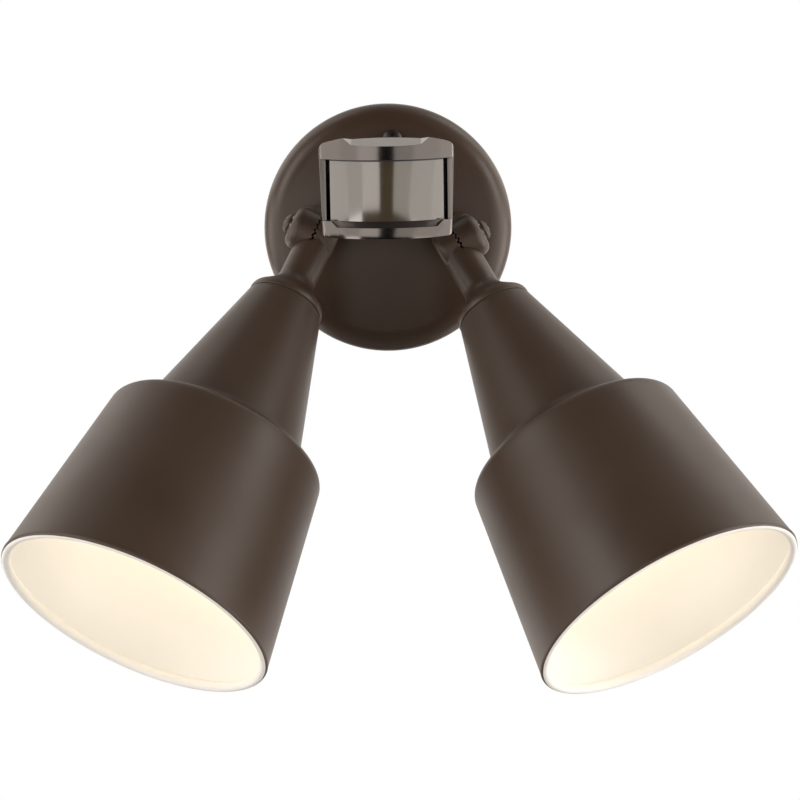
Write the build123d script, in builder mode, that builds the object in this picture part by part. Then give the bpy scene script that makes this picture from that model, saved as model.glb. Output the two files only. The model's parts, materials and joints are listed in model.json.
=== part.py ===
from build123d import *
import math
import os

os.makedirs("parts", exist_ok=True)

# Motion sensor security light: round wall canopy, two lampholder heads on
# toothed knuckles and a motion sensor head on a third knuckle.
# Frame: +Z up, +X to the right of someone facing the light, the wall is the
# plane Y = 0 and the light stands out toward -Y.  Origin: the centre of the
# canopy on the wall plane.  Millimetres.

# ---------------------------------------------------------------- dimensions
# canopy
CANOPY_R = 63.5            # 5 in cover for a 4 in round box
CANOPY_WALL = 2.2
CANOPY_DEPTH = 19.6
HOLE_X = 37.0              # lampholder holes
HOLE_Z = -1.1
SENSOR_HOLE_Z = 6.0
BOSS_FRONT = -20.6
BOSS_BACK = -15.0
BOSS_R = 10.2
BORE_R = 5.02              # running fit on the M10 nipples
SCREW_Z = 45.0             # canopy screw
BOX_SCREW_X = 44.45        # box screws, half of 3.5 in

# nipples and locknuts
NIPPLE_R = 4.95
NIPPLE_BORE = 3.4
NIPPLE_END = -8.6
LOCKNUT_AF = 16.0
LOCKNUT_T = 3.4

# lampholder heads: knuckle centre, side angle from straight down, lift from
# the wall plane
KNUCKLE_Y = -40.0
KNUCKLE_X = 38.62          # middle of the base half of the knuckle
KNUCKLE_Z = -4.33
KNUCKLE_OFFSET = 4.6       # from there to the arm axis, along the knuckle axis
NECK_TUBE_R = 10.6         # round neck behind the knuckle, on the nipple axis
NECK_CUT_Y = -27.9         # the neck is cut away in front of this for the arm
HEADS = {"left": (-1, 22.54, 30.99), "right": (1, 33.35, 29.71)}
KNUCKLE_R = 11.0
TEETH = 24
TOOTH_DEPTH = 1.25
JOINT_U = 2.3              # plane of the teeth, out from the arm axis
ARM_R = 9.35
OUTER_U = 14.9

# shade, measured along the arm axis from the knuckle centre
SEAM_T = 43.57
NECK_R = 19.26
CONE_T, CONE_R = 124.0, 40.81
DRUM_T, DRUM_R = 126.96, 54.48
MOUTH_T, MOUTH_R = 225.70, 67.96
SHADE_WALL = 1.0
BEAD_R = 2.0               # rolled edge of the mouth
GAP = 0.12                 # half the thin ring between cap and shade

# lampholder and lamp
SOCKET_R = 16.6
SHELL_R = 13.6
LAMP_R = 30.0

# sensor head: pivot, lean of the whole head and nod of its face
SENSOR_PIVOT = (0.0, -41.0, 6.0)
SENSOR_LEAN = 3.8
SENSOR_NOD = 6.0


# ------------------------------------------------------------------- helpers
def save(part, label):
    part.part.label = label
    export_step(part.part, "parts/" + label + ".step")


# --------------------------------------------------------------------- canopy
# a spun and cast dome: rounded shoulder, gently domed face, three flat bosses
with BuildPart() as canopy:
    with BuildSketch(Plane.XY) as canopy_profile:
        with BuildLine():
            o1 = Line((63.5, 0), (63.5, -2.6))
            o2 = ThreePointArc((63.5, -2.6), (60.6, -11.0), (52.6, -15.6))
            o3 = ThreePointArc((52.6, -15.6), (27.0, -18.6), (0, -CANOPY_DEPTH))
            i0 = Line((0, -CANOPY_DEPTH), (0, -CANOPY_DEPTH + CANOPY_WALL))
            i1 = ThreePointArc((0, -CANOPY_DEPTH + CANOPY_WALL), (26.6, -16.4), (51.8, -13.5))
            i2 = ThreePointArc((51.8, -13.5), (58.6, -9.8), (61.3, -3.2))
            i3 = Line((61.3, -3.2), (61.3, 0))
            i4 = Line((61.3, 0), (63.5, 0))
        make_face()
    revolve(axis=Axis.Y)
    # bosses for the three nipples
    with BuildSketch(Plane.XZ.offset(-BOSS_BACK)):
        with Locations((-HOLE_X, HOLE_Z), (HOLE_X, HOLE_Z), (0, SENSOR_HOLE_Z)):
            Circle(BOSS_R)
    extrude(amount=BOSS_BACK - BOSS_FRONT)
    # flat seat for the canopy screw head
    with BuildSketch(Plane.XZ.offset(13.6)):
        with Locations((0, SCREW_Z)):
            Circle(5.6)
    extrude(amount=3.2)
    with BuildSketch(Plane.XZ.offset(16.8)):
        with Locations((0, SCREW_Z)):
            Circle(5.3)
    extrude(amount=3.0, mode=Mode.SUBTRACT)
    # ledge inside the lower edge, which hangs on the strap
    with BuildSketch(Plane.XZ.offset(5.4)):
        with Locations((0, -57.6)):
            Rectangle(16, 7.6)
    extrude(amount=2.0)
    # spot faces behind the bosses for the locknuts
    with BuildSketch(Plane.XZ.offset(8)):
        with Locations((-HOLE_X, HOLE_Z), (HOLE_X, HOLE_Z), (0, SENSOR_HOLE_Z)):
            Circle(9.9)
    extrude(amount=-BOSS_BACK - 8, mode=Mode.SUBTRACT)
    # holes
    with BuildSketch(Plane.XZ.offset(10)):
        with Locations((-HOLE_X, HOLE_Z), (HOLE_X, HOLE_Z), (0, SENSOR_HOLE_Z)):
            Circle(BORE_R)
        with Locations((0, SCREW_Z)):
            Circle(2.3)
    extrude(amount=14, mode=Mode.SUBTRACT)
    # drain notch in the lower edge
    with BuildSketch(Plane.XZ.offset(-1)):
        with Locations((0, -62.4)):
            Rectangle(4.0, 4.0)
    extrude(amount=2.6, mode=Mode.SUBTRACT)
save(canopy, "canopy")

# foam ring inside the rim, pressed against the wall
with BuildPart() as canopy_gasket:
    with BuildSketch(Plane.XZ):
        Circle(61.3)
        Circle(55.6, mode=Mode.SUBTRACT)
        with Locations((0, -58.5)):
            Rectangle(20, 9, mode=Mode.SUBTRACT)
    extrude(amount=3.0)
save(canopy_gasket, "canopy_gasket")

# steel crossbar on the outlet box: two slots across, a tapped tab at the top
# and a hook at the bottom
with BuildPart() as mounting_strap:
    with BuildSketch(Plane.XZ):
        Rectangle(104, 13)
        with Locations((0, 1.75)):
            Rectangle(16, 95.5)
        with Locations((-BOX_SCREW_X, 0), (BOX_SCREW_X, 0)):
            SlotOverall(11.0, 4.8, mode=Mode.SUBTRACT)
        with Locations((0, 0)):
            Circle(5.2, mode=Mode.SUBTRACT)
    extrude(amount=1.6)
    # top tab, pressed up into a tapped neck
    with BuildSketch(Plane.XZ.offset(1.6)):
        with Locations((0, 44.6)):
            RectangleRounded(12, 9.0, 2)
    extrude(amount=3.0)
    # lower hook: riser and lip
    with BuildSketch(Plane.XZ):
        with Locations((0, -49.3)):
            Rectangle(12, 7.0)
    extrude(amount=1.6)
    with BuildSketch(Plane.XZ):
        with Locations((0, -52.0)):
            Rectangle(12, 1.6)
    extrude(amount=10.0)
    with BuildSketch(Plane.XZ.offset(8.0)):
        with Locations((0, -54.6)):
            Rectangle(12, 6.8)
    extrude(amount=2.0)
    # tapped holes: canopy screw, ground screw
    with BuildSketch(Plane.XZ.offset(-1)):
        with Locations((0, SCREW_Z)):
            Circle(2.05)
        with Locations((20, -1.0)):
            Circle(2.05)
    extrude(amount=8, mode=Mode.SUBTRACT)
save(mounting_strap, "mounting_strap")

# canopy screw: pan head on the face of the canopy, shank into the strap
with BuildPart() as canopy_screw:
    with BuildSketch(Plane.YZ) as screw_profile:
        with BuildLine():
            Polyline((-0.4, SCREW_Z), (-0.4, SCREW_Z + 2.0), (-16.8, SCREW_Z + 2.0),
                     (-16.8, SCREW_Z + 5.0), (-18.0, SCREW_Z + 5.0))
            ThreePointArc((-18.0, SCREW_Z + 5.0), (-19.2, SCREW_Z + 3.1), (-19.7, SCREW_Z))
            Line((-19.7, SCREW_Z), (-0.4, SCREW_Z))
        make_face()
    revolve(axis=Axis((0, 0, SCREW_Z), (0, 1, 0)))
    with BuildSketch(Plane.XZ.offset(18.4)):
        with Locations((0, SCREW_Z)):
            Rectangle(6.4, 1.0)
            Rectangle(1.0, 6.4)
    extrude(amount=2, mode=Mode.SUBTRACT)
save(canopy_screw, "canopy_screw")

# green ground screw in the strap
with BuildPart() as ground_screw:
    with BuildSketch(Plane.XZ.offset(0.2)):
        with Locations((20, -1.0)):
            Circle(2.0)
    extrude(amount=1.4)
    with BuildSketch(Plane.XZ.offset(1.6)):
        with Locations((20, -1.0)):
            RegularPolygon(4.0, 6)
    extrude(amount=2.2)
    with BuildSketch(Plane.XZ.offset(2.8)):
        with Locations((20, -1.0)):
            Rectangle(9, 0.9)
    extrude(amount=2, mode=Mode.SUBTRACT)
save(ground_screw, "ground_screw")

# rubber washers between the canopy bosses and the fittings
for washer_name, wx, wz in (("left_boss_washer", -HOLE_X, HOLE_Z),
                            ("right_boss_washer", HOLE_X, HOLE_Z),
                            ("sensor_boss_washer", 0, SENSOR_HOLE_Z)):
    with BuildPart() as boss_washer:
        with BuildSketch(Plane.XZ.offset(-BOSS_FRONT)):
            with Locations((wx, wz)):
                Circle(9.7)
                Circle(5.25, mode=Mode.SUBTRACT)
        extrude(amount=1.3)
    save(boss_washer, washer_name)

# ---------------------------------------------------------- lampholder heads
for side_name, (side, az_deg, el_deg) in HEADS.items():
    az = math.radians(az_deg) * side
    el = math.radians(el_deg)
    arm_dir = Vector(math.sin(az) * math.cos(el), -math.sin(el), -math.cos(az) * math.cos(el))
    out_dir = Vector(math.cos(az), 0, math.sin(az)) * side       # knuckle axis, outward
    hole = Vector(side * HOLE_X, 0, HOLE_Z)
    K = Vector(side * KNUCKLE_X, KNUCKLE_Y, KNUCKLE_Z) - out_dir * KNUCKLE_OFFSET
    side_dir = arm_dir.cross(out_dir)
    up_dir = Vector(-math.sin(az), 0, math.cos(az))              # up the joint, in the wall plane

    def across(u):
        # plane square to the knuckle axis, u out from the arm axis
        return Plane(origin=K + out_dir * u, x_dir=arm_dir, z_dir=out_dir)

    def along(t):
        # plane square to the arm axis, t from the knuckle centre
        return Plane(origin=K + arm_dir * t, x_dir=out_dir, z_dir=arm_dir)

    # x = radius toward the outside, y = distance along the arm
    profile = Plane(origin=K, x_dir=out_dir, z_dir=out_dir.cross(arm_dir))
    arm_axis = Axis(K, arm_dir)
    # x = out along the knuckle axis, y = radius across it
    knuckle_profile = Plane(origin=K, x_dir=out_dir, z_dir=out_dir.cross(arm_dir))
    knuckle_axis = Axis(K, out_dir)

    # base half of the knuckle: nipple, flange, neck and outer toothed disc
    with BuildPart() as knuckle_base:
        with BuildSketch(Plane.XZ.offset(22.0)):
            with Locations((hole.X, hole.Z)):
                Circle(9.9)
        extrude(amount=3.0)
        with BuildSketch(Plane.XZ.offset(24.0)):
            with Locations((hole.X, hole.Z)):
                Circle(7.8)
        extrude(amount=16.0)
        # round neck, sloping in toward the disc
        with BuildSketch(Plane.XZ.offset(23.4)):
            with Locations((hole.X, hole.Z)):
                Circle(NECK_TUBE_R)
        extrude(amount=8.6)
        with BuildSketch(Plane.XZ.offset(32.0)):
            with Locations((hole.X, hole.Z)):
                Circle(NECK_TUBE_R)
        extrude(amount=5.0, taper=34)
        # clear the inner half's sweep
        with BuildSketch(across(JOINT_U + 0.15)):
            Circle(KNUCKLE_R + 0.7)
        extrude(amount=-20, mode=Mode.SUBTRACT)
        c1 = K + out_dir * (JOINT_U + 0.15) + up_dir * 30
        c2 = K + out_dir * (JOINT_U + 0.15) - up_dir * 30
        c3 = c2 - out_dir * 40
        c4 = c1 - out_dir * 40
        with BuildSketch(Plane.XZ.offset(-NECK_CUT_Y)):
            with BuildLine():
                Polyline((c1.X, c1.Z), (c2.X, c2.Z), (c3.X, c3.Z), (c4.X, c4.Z), close=True)
            make_face()
        extrude(amount=20, mode=Mode.SUBTRACT)
        # trim the neck to the outer face of the disc
        with BuildSketch(across(OUTER_U)):
            Circle(13.0)
        extrude(amount=6, mode=Mode.SUBTRACT)
        # outer disc with a rounded outer edge
        with BuildSketch(knuckle_profile):
            with BuildLine():
                Line((JOINT_U + 0.15, 0), (JOINT_U + 0.15, KNUCKLE_R))
                Line((JOINT_U + 0.15, KNUCKLE_R), (OUTER_U - 4.2, KNUCKLE_R))
                ThreePointArc((OUTER_U - 4.2, KNUCKLE_R), (OUTER_U - 1.2, KNUCKLE_R - 1.5),
                              (OUTER_U, KNUCKLE_R - 5.0))
                Line((OUTER_U, KNUCKLE_R - 5.0), (OUTER_U, 0))
                Line((OUTER_U, 0), (JOINT_U + 0.15, 0))
            make_face()
        revolve(axis=knuckle_axis)
        # recess inside the ring of teeth
        with BuildSketch(across(JOINT_U)):
            Circle(6.6)
        extrude(amount=7.0, mode=Mode.SUBTRACT)
        # ring of teeth
        for k in range(TEETH):
            a = 2 * math.pi * k / TEETH
            radial = arm_dir * math.cos(a) + side_dir * math.sin(a)
            tooth_plane = Plane(origin=K + radial * 5.5, x_dir=out_dir, z_dir=radial)
            with BuildSketch(tooth_plane):
                Polygon((JOINT_U - 0.6, 1.35), (JOINT_U - 0.6, -1.35),
                        (JOINT_U + 0.15 + TOOTH_DEPTH, 0), align=None)
            extrude(amount=7.0, mode=Mode.SUBTRACT)
        # wire way through the neck
        with BuildSketch(Plane.XZ.offset(20.0)):
            with Locations((hole.X, hole.Z)):
                Circle(NIPPLE_BORE)
        extrude(amount=18.0, mode=Mode.SUBTRACT)
        # screw hole
        with BuildSketch(across(0)):
            Circle(2.6)
        extrude(amount=20, mode=Mode.SUBTRACT)
        # threaded nipple into the canopy
        with BuildSketch(Plane.XZ.offset(-NIPPLE_END)):
            with Locations((hole.X, hole.Z)):
                Circle(NIPPLE_R)
                Circle(NIPPLE_BORE, mode=Mode.SUBTRACT)
        extrude(amount=22.2 + NIPPLE_END)
    save(knuckle_base, side_name + "_knuckle_base")

    with BuildPart() as locknut:
        with BuildSketch(Plane.XZ.offset(-BOSS_BACK - 0.1 - LOCKNUT_T)):
            with Locations((hole.X, hole.Z)):
                RegularPolygon(LOCKNUT_AF / 2, 6, major_radius=False)
                Circle(NIPPLE_R, mode=Mode.SUBTRACT)
        extrude(amount=LOCKNUT_T)
    save(locknut, side_name + "_locknut")

    # knuckle screw with a domed pan head and a cross recess
    with BuildPart() as knuckle_screw:
        with BuildSketch(knuckle_profile):
            with BuildLine():
                Polyline((-8.6, 0), (-8.6, 2.4), (15.6, 2.4), (15.6, 5.0), (16.6, 5.0))
                ThreePointArc((16.6, 5.0), (18.0, 3.4), (18.7, 0))
                Line((18.7, 0), (-8.6, 0))
            make_face()
        revolve(axis=knuckle_axis)
        with BuildSketch(across(17.4)):
            Rectangle(6.0, 1.1)
            Rectangle(1.1, 6.0)
        extrude(amount=3, mode=Mode.SUBTRACT)
    save(knuckle_screw, side_name + "_knuckle_screw")

    # split lock washer under the screw head
    with BuildPart() as lock_washer:
        with BuildSketch(across(OUTER_U)):
            Circle(4.2)
            Circle(2.6, mode=Mode.SUBTRACT)
            with Locations((3.4, 0)):
                Rectangle(2.4, 0.5, mode=Mode.SUBTRACT)
        extrude(amount=0.7)
    save(lock_washer, side_name + "_lock_washer")

    # arm: inner toothed disc, tube and flared cap in one casting
    with BuildPart() as arm:
        with BuildSketch(profile) as arm_profile:
            with BuildLine():
                Polyline((0, 0), (ARM_R, 0), (ARM_R, 27.5))
                ThreePointArc((ARM_R, 27.5), (10.35, 31.0), (12.6, 34.0))
                Line((12.6, 34.0), (17.3, 38.4))
                ThreePointArc((17.3, 38.4), (18.7, 39.9), (NECK_R, 41.8))
                Line((NECK_R, 41.8), (NECK_R, SEAM_T - GAP))
                Line((NECK_R, SEAM_T - GAP), (0, SEAM_T - GAP))
                Line((0, SEAM_T - GAP), (0, 0))
            make_face()
        revolve(axis=arm_axis)
        # outer half cleared for the base half of the knuckle
        with BuildSketch(across(JOINT_U - 0.15)):
            Circle(KNUCKLE_R + 0.7)
        extrude(amount=20, mode=Mode.SUBTRACT)
        # inner disc
        with BuildSketch(knuckle_profile):
            with BuildLine():
                Line((JOINT_U - 0.15, 0), (JOINT_U - 0.15, KNUCKLE_R))
                Line((JOINT_U - 0.15, KNUCKLE_R), (-5.6, KNUCKLE_R))
                ThreePointArc((-5.6, KNUCKLE_R), (-8.4, KNUCKLE_R - 1.4), (-9.6, KNUCKLE_R - 4.6))
                Line((-9.6, KNUCKLE_R - 4.6), (-9.6, 0))
                Line((-9.6, 0), (JOINT_U - 0.15, 0))
            make_face()
        revolve(axis=knuckle_axis)
        with BuildSketch(across(JOINT_U)):
            Circle(6.6)
        extrude(amount=-7.0, mode=Mode.SUBTRACT)
        for k in range(TEETH):
            a = 2 * math.pi * (k + 0.5) / TEETH
            radial = arm_dir * math.cos(a) + side_dir * math.sin(a)
            tooth_plane = Plane(origin=K + radial * 5.5, x_dir=out_dir, z_dir=radial)
            with BuildSketch(tooth_plane):
                Polygon((JOINT_U + 0.6, 1.35), (JOINT_U - 0.15 - TOOTH_DEPTH, 0),
                        (JOINT_U + 0.6, -1.35), align=None)
            extrude(amount=7.0, mode=Mode.SUBTRACT)
        # screw hole and wire way
        with BuildSketch(across(-12)):
            Circle(2.46)
        extrude(amount=16, mode=Mode.SUBTRACT)
        with BuildSketch(along(3)):
            Circle(4.0)
        extrude(amount=SEAM_T, mode=Mode.SUBTRACT)
        # hollow inside of the flared cap
        with BuildSketch(profile):
            with BuildLine():
                Polyline((0, 33.0), (4.0, 33.0), (7.4, 40.0), (7.4, 44.5), (0, 44.5), close=True)
            make_face()
        revolve(axis=arm_axis, mode=Mode.SUBTRACT)
        # tapped holes for the lampholder screws
        with BuildSketch(along(SEAM_T - 7.0)):
            with Locations((0, 10.5), (0, -10.5)):
                Circle(1.7)
        extrude(amount=8.0, mode=Mode.SUBTRACT)
    save(arm, side_name + "_arm")

    # rubber ring between the cap and the neck of the shade
    with BuildPart() as neck_gasket:
        with BuildSketch(profile):
            with BuildLine():
                Polyline((7.6, SEAM_T - GAP), (18.9, SEAM_T - GAP), (18.9, SEAM_T + GAP),
                         (7.6, SEAM_T + GAP), close=True)
            make_face()
        revolve(axis=arm_axis)
        with BuildSketch(along(SEAM_T - 1)):
            with Locations((0, 10.5), (0, -10.5)):
                Circle(1.8)
        extrude(amount=2.0, mode=Mode.SUBTRACT)
    save(neck_gasket, side_name + "_neck_gasket")

    # spun shade: neck plate, cone, shoulder, drum and a rolled edge
    slope_c = (CONE_R - NECK_R) / (CONE_T - SEAM_T)
    slope_d = (MOUTH_R - DRUM_R) / (MOUTH_T - DRUM_T)
    w = SHADE_WALL
    # flare of 10 mm radius where the cone runs out into the shoulder
    FLARE_A = (39.24, 118.10)
    FLARE_M = (41.88, 122.64)
    FLARE_B = (46.47, 125.21)
    with BuildPart() as shade:
        with BuildSketch(profile):
            with BuildLine():
                t0 = SEAM_T + GAP
                # outside, from the neck hole outward
                Line((7.6, t0), (18.7, t0))
                ThreePointArc((18.7, t0), (19.2, t0 + 0.25), (NECK_R + 0.25, t0 + 0.9))
                Line((NECK_R + 0.25, t0 + 0.9), FLARE_A)
                ThreePointArc(FLARE_A, FLARE_M, FLARE_B)
                Line(FLARE_B, (DRUM_R - 4.0, DRUM_T - 0.75))
                ThreePointArc((DRUM_R - 4.0, DRUM_T - 0.75), (DRUM_R - 1.05, DRUM_T + 0.95),
                              (DRUM_R + 0.52, DRUM_T + 3.8))
                Line((DRUM_R + 0.52, DRUM_T + 3.8), (MOUTH_R - slope_d * 3.0, MOUTH_T - 3.0))
                # rolled edge
                ThreePointArc((MOUTH_R - slope_d * 3.0, MOUTH_T - 3.0), (MOUTH_R - 0.3, MOUTH_T - 0.7),
                              (MOUTH_R - 2.0, MOUTH_T))
                ThreePointArc((MOUTH_R - 2.0, MOUTH_T), (MOUTH_R - 4.0, MOUTH_T - 1.9),
                              (MOUTH_R - 2.6, MOUTH_T - 4.4))
                # inside, back to the neck
                Line((MOUTH_R - 2.6, MOUTH_T - 4.4), (MOUTH_R - slope_d * 7.0 - w, MOUTH_T - 7.0))
                Line((MOUTH_R - slope_d * 7.0 - w, MOUTH_T - 7.0), (DRUM_R + 0.55 - w, DRUM_T + 4.2))
                ThreePointArc((DRUM_R + 0.55 - w, DRUM_T + 4.2), (DRUM_R - 1.75 - w * 0.1, DRUM_T + 1.65),
                              (DRUM_R - 4.2, DRUM_T + w - 0.75))
                Line((DRUM_R - 4.2, DRUM_T + w - 0.75), (FLARE_B[0] - 0.24 * w, FLARE_B[1] + 0.97 * w))
                ThreePointArc((FLARE_B[0] - 0.24 * w, FLARE_B[1] + 0.97 * w),
                              (FLARE_M[0] - 0.7 * w, FLARE_M[1] + 0.714 * w),
                              (FLARE_A[0] - 0.966 * w, FLARE_A[1] + 0.259 * w))
                Line((FLARE_A[0] - 0.966 * w, FLARE_A[1] + 0.259 * w), (NECK_R + 0.35 - w, t0 + 2.0))
                Line((NECK_R + 0.35 - w, t0 + 2.0), (17.4, t0 + w))
                Line((17.4, t0 + w), (7.6, t0 + w))
                Line((7.6, t0 + w), (7.6, t0))
            make_face()
        revolve(axis=arm_axis)
        # lampholder screw holes in the neck plate
        with BuildSketch(along(t0 - 1)):
            with Locations((0, 10.5), (0, -10.5)):
                Circle(1.8)
        extrude(amount=3.0, mode=Mode.SUBTRACT)
    save(shade, side_name + "_shade")

    # lampholder body, held on the neck plate by two screws
    s0 = SEAM_T + GAP + w
    with BuildPart() as socket_body:
        with BuildSketch(profile):
            with BuildLine():
                Polyline((3.6, s0), (15.6, s0), (SOCKET_R, s0 + 1.2), (SOCKET_R, s0 + 36.0),
                         (15.6, s0 + 38.0), (14.3, s0 + 38.0), (14.3, s0 + 9.0), (3.6, s0 + 9.0),
                         close=True)
            make_face()
        revolve(axis=arm_axis)
        with BuildSketch(along(s0 - 0.5)):
            with Locations((0, 10.5), (0, -10.5)):
                Circle(1.8)
        extrude(amount=9.5, mode=Mode.SUBTRACT)
        with BuildSketch(along(s0 + 5.0)):
            with Locations((0, 10.5), (0, -10.5)):
                Circle(3.2)
        extrude(amount=5.0, mode=Mode.SUBTRACT)
    save(socket_body, side_name + "_socket_body")

    # threaded shell of the lampholder, drawn as a plain sleeve with rolled rings
    with BuildPart() as screw_shell:
        with BuildSketch(profile):
            with BuildLine():
                pts = [(14.2, s0 + 9.1), (14.2, s0 + 36.5), (13.7, s0 + 36.5)]
                for ring in range(6):
                    tr = s0 + 33.5 - ring * 3.4
                    pts += [(13.7, tr + 1.2), (13.35, tr), (13.7, tr - 1.2)]
                pts += [(13.7, s0 + 9.9), (9.0, s0 + 9.9), (9.0, s0 + 9.1)]
                Polyline(*pts, close=True)
            make_face()
        revolve(axis=arm_axis)
    save(screw_shell, side_name + "_screw_shell")

    # springy centre contact
    with BuildPart() as centre_contact:
        with BuildSketch(profile):
            with BuildLine():
                Polyline((0, s0 + 9.0), (0, s0 + 10.6), (2.2, s0 + 10.6), (3.4, s0 + 10.1),
                         (7.6, s0 + 10.1), (7.6, s0 + 9.0), close=True)
            make_face()
        revolve(axis=arm_axis)
        with BuildSketch(along(s0 + 8.0)):
            with Locations((0, 6.6), (0, -6.6)):
                Rectangle(16, 6.4)
        extrude(amount=4, mode=Mode.SUBTRACT)
    save(centre_contact, side_name + "_centre_contact")

    # two screws that hold the lampholder and shade to the cap
    with BuildPart() as socket_screws:
        with BuildSketch(along(SEAM_T - 6.0)):
            with Locations((0, 10.5), (0, -10.5)):
                Circle(1.65)
        extrude(amount=s0 + 5.0 - SEAM_T + 6.0)
        with BuildSketch(along(s0 + 5.0)):
            with Locations((0, 10.5), (0, -10.5)):
                Circle(2.9)
        extrude(amount=2.4)
    save(socket_screws, side_name + "_socket_screws")

    # LED lamp: metal cap, plastic heat sink body, opal globe
    L0 = s0 + 10.75
    with BuildPart() as lamp_cap:
        with BuildSketch(profile):
            with BuildLine():
                pts = [(0, L0), (3.6, L0), (4.6, L0 + 1.2), (9.5, L0 + 2.6), (12.1, L0 + 4.2)]
                for ring in range(5):
                    tr = L0 + 7.0 + ring * 3.4
                    pts += [(12.1, tr - 1.2), (12.95, tr), (12.1, tr + 1.2)]
                pts += [(12.1, L0 + 25.0), (12.9, L0 + 26.0), (0, L0 + 26.0)]
                Polyline(*pts, close=True)
            make_face()
        revolve(axis=arm_axis)
    save(lamp_cap, side_name + "_lamp_cap")

    B0 = L0 + 26.0
    with BuildPart() as lamp_body:
        with BuildSketch(profile):
            with BuildLine():
                Line((0, B0), (13.6, B0))
                ThreePointArc((13.6, B0), (17.5, B0 + 14.0), (25.5, B0 + 32.0))
                Line((25.5, B0 + 32.0), (25.5, B0 + 34.0))
                Line((25.5, B0 + 34.0), (0, B0 + 34.0))
                Line((0, B0 + 34.0), (0, B0))
            make_face()
        revolve(axis=arm_axis)
    save(lamp_body, side_name + "_lamp_body")

    G0 = B0 + 34.0
    with BuildPart() as lamp_globe:
        with BuildSketch(profile):
            with BuildLine():
                q = math.sqrt(0.5)
                ri = LAMP_R - 1.2
                Line((25.0, G0), (26.3, G0))
                ThreePointArc((26.3, G0), (29.1, G0 + 6.0), (LAMP_R, G0 + 13.0))
                ThreePointArc((LAMP_R, G0 + 13.0), (LAMP_R * q, G0 + 13.0 + LAMP_R * q),
                              (0, G0 + 13.0 + LAMP_R))
                Line((0, G0 + 13.0 + LAMP_R), (0, G0 + 13.0 + ri))
                ThreePointArc((0, G0 + 13.0 + ri), (ri * q, G0 + 13.0 + ri * q), (ri, G0 + 13.0))
                ThreePointArc((ri, G0 + 13.0), (27.9, G0 + 6.2), (25.0, G0))
            make_face()
        revolve(axis=arm_axis)
    save(lamp_globe, side_name + "_lamp_globe")

# ---------------------------------------------------------------- sensor head
lean = math.radians(SENSOR_LEAN)
nod = math.radians(SENSOR_NOD)
S = Vector(*SENSOR_PIVOT)
ex = Vector(math.cos(lean), 0, math.sin(lean))
ez0 = Vector(-math.sin(lean), 0, math.cos(lean))
ey0 = Vector(0, 1, 0)
ey = ey0 * math.cos(nod) + ez0 * math.sin(nod)
ez = ez0 * math.cos(nod) - ey0 * math.sin(nod)


def level(z):
    # plane square to the head's upright axis
    return Plane(origin=S + ez * z, x_dir=ex, z_dir=ez)


def facing(y):
    # plane square to the head's depth, sketch x = right, sketch y = up
    return Plane(origin=S + ey * y, x_dir=ex, z_dir=ex.cross(ez))


def side_on(x):
    # plane square to the head's width, sketch x = depth, sketch y = up
    return Plane(origin=S + ex * x, x_dir=ey, z_dir=ex)


# neck and tongue of the sensor's knuckle
with BuildPart() as sensor_neck:
    with BuildSketch(Plane.XZ.offset(22.0)):
        with Locations((0, SENSOR_HOLE_Z)):
            Circle(9.9)
    extrude(amount=3.0)
    with BuildSketch(Plane.XZ.offset(24.0)):
        with Locations((0, SENSOR_HOLE_Z)):
            Circle(7.2)
    extrude(amount=8.9)
    with BuildSketch(Plane(origin=(0, -32, SENSOR_HOLE_Z), x_dir=ex, z_dir=(0, -1, 0))):
        RectangleRounded(8.0, 14.4, 1.0)
    extrude(amount=9.0)
    with BuildSketch(side_on(-4.0)):
        Circle(7.2)
    extrude(amount=8.0)
    with BuildSketch(side_on(-6.0)):
        Circle(2.5)
    extrude(amount=12.0, mode=Mode.SUBTRACT)
    with BuildSketch(Plane.XZ.offset(20.0)):
        with Locations((0, SENSOR_HOLE_Z)):
            Circle(3.2)
    extrude(amount=13.0, mode=Mode.SUBTRACT)
    # side outlet for the leads
    with BuildSketch(Plane(origin=S + Vector(0, 11.0, 0), x_dir=(0, 1, 0), z_dir=ez0)):
        Circle(2.6)
    extrude(amount=12.0, mode=Mode.SUBTRACT)
    with BuildSketch(Plane.XZ.offset(-NIPPLE_END)):
        with Locations((0, SENSOR_HOLE_Z)):
            Circle(NIPPLE_R)
            Circle(3.2, mode=Mode.SUBTRACT)
    extrude(amount=22.2 + NIPPLE_END)
save(sensor_neck, "sensor_neck")

with BuildPart() as sensor_locknut:
    with BuildSketch(Plane.XZ.offset(-BOSS_BACK - 0.1 - LOCKNUT_T)):
        with Locations((0, SENSOR_HOLE_Z)):
            RegularPolygon(LOCKNUT_AF / 2, 6, major_radius=False)
            Circle(NIPPLE_R, mode=Mode.SUBTRACT)
    extrude(amount=LOCKNUT_T)
save(sensor_locknut, "sensor_locknut")

# clamp screw through the sensor's knuckle
with BuildPart() as sensor_clamp_screw:
    with BuildSketch(side_on(-8.6)):
        Circle(2.45)
    extrude(amount=17.4)
    with BuildSketch(side_on(8.8)):
        Circle(4.6)
    extrude(amount=2.4)
    with BuildSketch(side_on(10.2)):
        Rectangle(6.4, 1.1)
        Rectangle(1.1, 6.4)
    extrude(amount=2, mode=Mode.SUBTRACT)
save(sensor_clamp_screw, "sensor_clamp_screw")

with BuildPart() as sensor_clamp_nut:
    with BuildSketch(side_on(-12.4)):
        RegularPolygon(4.0, 6, major_radius=False)
        Circle(2.45, mode=Mode.SUBTRACT)
    extrude(amount=3.6)
    with BuildSketch(side_on(-12.4)):
        Circle(2.45)
    extrude(amount=3.8)
save(sensor_clamp_nut, "sensor_clamp_nut")

SEAM = 32.9       # cover over housing
FACET = math.radians(12.0)
ROOF_FALL = math.radians(11.5)
FLOOR = -4.7
BACK = -13.5
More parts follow.
